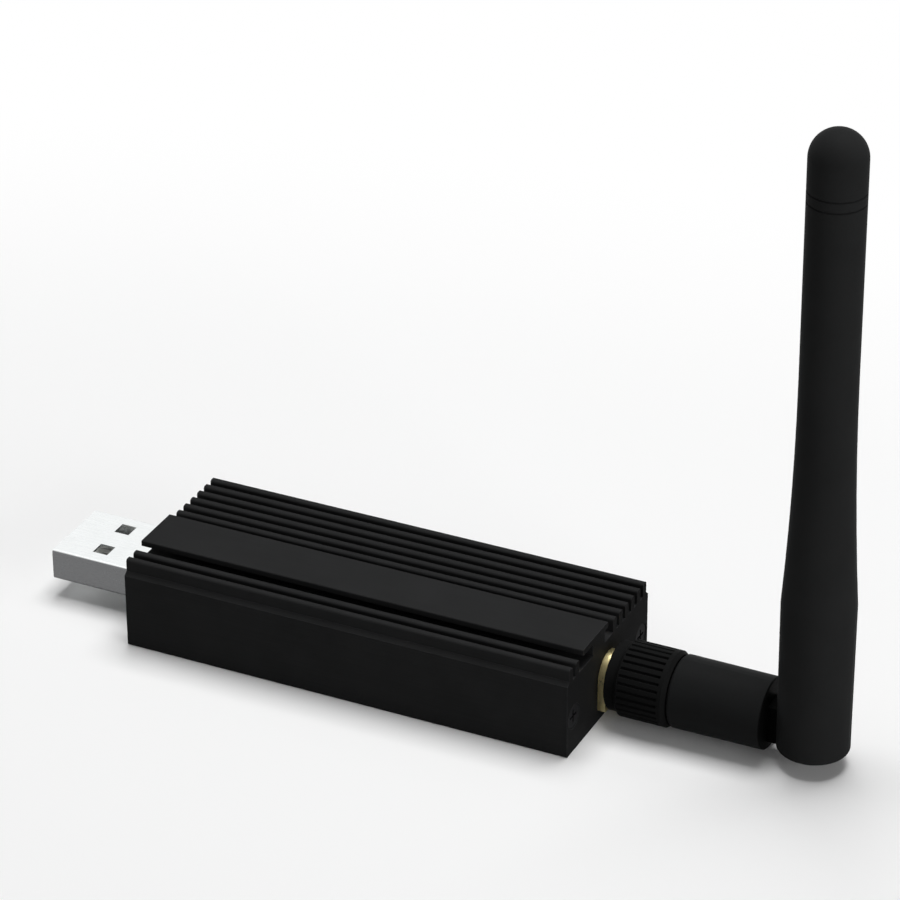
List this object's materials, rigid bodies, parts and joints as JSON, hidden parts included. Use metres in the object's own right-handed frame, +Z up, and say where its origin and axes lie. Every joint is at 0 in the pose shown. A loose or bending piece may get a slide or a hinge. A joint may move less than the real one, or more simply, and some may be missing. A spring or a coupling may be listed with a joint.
{
  "type": "usb radio stick",
  "caption": "USB radio stick: finned aluminium housing with a USB plug, a coaxial jack, and a screw-on hinged rod antenna.",
  "frame": {"origin": "centre of the housing underside, on the surface it rests on", "axes": "+X along the stick, from the USB plug to the antenna; +Z up; -Y is the side with the two near fins"},
  "size_m": [0.1128, 0.0254, 0.0887],
  "materials": {
    "housing_black": "black anodised, fine matt grain",
    "screw_black": "blackened steel",
    "board_mask": "green solder mask",
    "plug_steel": "bright nickel plate",
    "plug_plastic": "white moulded plastic",
    "contact_gold": "gold plate",
    "chip_black": "moulded black",
    "can_steel": "tinned sheet",
    "switch_black": "moulded black",
    "button_white": "moulded white",
    "ceramic_tan": "ceramic",
    "light_lens": "clear lens",
    "jack_brass": "bright gold-coloured plate",
    "core_white": "white core plastic",
    "gasket_rubber": "red-brown rubber",
    "spring_bronze": "spring bronze",
    "nut_black": "moulded black, satin",
    "barrel_black": "moulded black, satin",
    "whip_black": "soft moulded black, satin",
    "cable_jacket": "brown cable jacket",
    "radiator_brass": "plain brass tube",
    "wire_jacket": "white wire insulation"
  },
  "bodies": {
    "stick": {"housing": "housing_black", "usb_end_plate": "housing_black", "antenna_end_plate": "housing_black", "usb_end_screws": "screw_black", "antenna_end_screws": "screw_black", "circuit_board": "board_mask", "usb_shell": "plug_steel", "usb_insulator": "plug_plastic", "usb_contacts": "contact_gold", "usb_bridge_chip": "chip_black", "voltage_regulator": "chip_black", "clock_crystal": "can_steel", "radio_chip": "chip_black", "radio_crystal": "can_steel", "shield_can": "can_steel", "boot_switch": "switch_black", "reset_switch": "switch_black", "capacitors": "ceramic_tan", "filter_parts": "ceramic_tan", "status_lights": "light_lens", "jack_body": "jack_brass", "jack_insulator": "core_white", "jack_contact": "contact_gold"},
    "boot_button": {"boot_plunger": "button_white"},
    "reset_button": {"reset_plunger": "button_white"},
    "plug_core": {"plug_ferrule": "jack_brass", "plug_insulator": "core_white", "plug_pin": "contact_gold", "plug_gasket": "gasket_rubber", "retaining_ring": "spring_bronze"},
    "coupling_nut": {"nut_sleeve": "nut_black", "nut_insert": "jack_brass"},
    "swivel": {"swivel_barrel": "barrel_black", "snap_ring": "spring_bronze", "lower_coax": "cable_jacket"},
    "whip": {"whip_sleeve": "whip_black", "whip_cap": "whip_black", "upper_coax": "cable_jacket", "radiator_sleeve": "radiator_brass", "radiator_wire": "wire_jacket", "radiator_spacer": "core_white"}
  },
  "joints": [
    {"name": "boot_press", "type": "slide", "parent": "stick", "child": "boot_button", "axis": [0, 0, -1], "range_m": [0, 0.00025], "stiffness_N_per_m": 600},
    {"name": "reset_press", "type": "slide", "parent": "stick", "child": "reset_button", "axis": [0, 0, -1], "range_m": [0, 0.00025], "stiffness_N_per_m": 600},
    {"name": "antenna_draw_off", "type": "slide", "parent": "stick", "child": "plug_core", "axis": [1, 0, 0], "range_m": [0, 0.008]},
    {"name": "nut_turn", "type": "hinge", "parent": "plug_core", "child": "coupling_nut", "pos_m": [0.0371, 0, 0.0057], "axis": [1, 0, 0], "range_deg": [0, 4082]},
    {"name": "barrel_swivel", "type": "hinge", "parent": "plug_core", "child": "swivel", "pos_m": [0.0441, 0, 0.0057], "axis": [1, 0, 0], "range_deg": [-180, 180]},
    {"name": "whip_tilt", "type": "hinge", "parent": "swivel", "child": "whip", "pos_m": [0.06066, 0, 0.0057], "axis": [0, 1, 0], "range_deg": [0, 90]}
  ],
  "couplings": [
    {"joint": "nut_turn", "follows": "antenna_draw_off", "rad_per_m": 8905.3}
  ]
}
